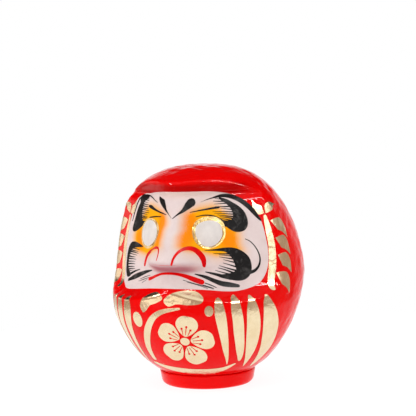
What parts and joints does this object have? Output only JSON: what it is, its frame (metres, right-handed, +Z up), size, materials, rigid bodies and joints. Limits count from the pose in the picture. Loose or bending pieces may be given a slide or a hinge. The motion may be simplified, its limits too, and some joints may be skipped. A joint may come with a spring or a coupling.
{
  "type": "daruma doll",
  "caption": "Roly-poly papier-mache figure with a hood, a recessed painted face and gold foil stripes, blossom and bamboo, standing on a round weighted foot.",
  "frame": {"origin": "on the floor under the middle of the foot, which is the bottom centre of the bounding box", "axes": "+Z up; the doll faces -Y; +X is the doll's own left"},
  "size_m": [0.2106, 0.2202, 0.24],
  "materials": {
    "lacquered_paper": "papier-mache under glossy red lacquer, white, orange and black paint on the face",
    "joint_paper": "bare pasted paper",
    "painted_clay": "low-fired clay under glossy red lacquer",
    "gold_foil": "metallic gold foil, slightly crinkled"
  },
  "bodies": {
    "root": {"bamboo_leaf_left_1": "gold_foil", "bamboo_leaf_left_2": "gold_foil", "bamboo_leaf_left_3": "gold_foil", "bamboo_leaf_left_4": "gold_foil", "bamboo_leaf_left_5": "gold_foil", "bamboo_leaf_left_6": "gold_foil", "bamboo_leaf_right_1": "gold_foil", "bamboo_leaf_right_2": "gold_foil", "bamboo_leaf_right_3": "gold_foil", "bamboo_leaf_right_4": "gold_foil", "bamboo_leaf_right_5": "gold_foil", "bamboo_leaf_right_6": "gold_foil", "bamboo_stem_left": "gold_foil", "bamboo_stem_right": "gold_foil", "base_weight": "painted_clay", "blossom_heart": "gold_foil", "blossom_petal_1": "gold_foil", "blossom_petal_2": "gold_foil", "blossom_petal_3": "gold_foil", "blossom_petal_4": "gold_foil", "blossom_petal_5": "gold_foil", "eye_rim_left": "gold_foil", "eye_rim_right": "gold_foil", "plum_bough": "gold_foil", "plum_branch": "gold_foil", "plum_bud_1": "gold_foil", "plum_bud_2": "gold_foil", "plum_leaf_1": "gold_foil", "plum_leaf_2": "gold_foil", "seam_strip": "joint_paper", "shell_back": "lacquered_paper", "shell_front": "lacquered_paper", "stripe_left_1": "gold_foil", "stripe_left_2": "gold_foil", "stripe_left_3": "gold_foil", "stripe_left_4": "gold_foil", "stripe_right_1": "gold_foil", "stripe_right_2": "gold_foil", "stripe_right_3": "gold_foil", "stripe_right_4": "gold_foil"}
  },
  "joints": []
}
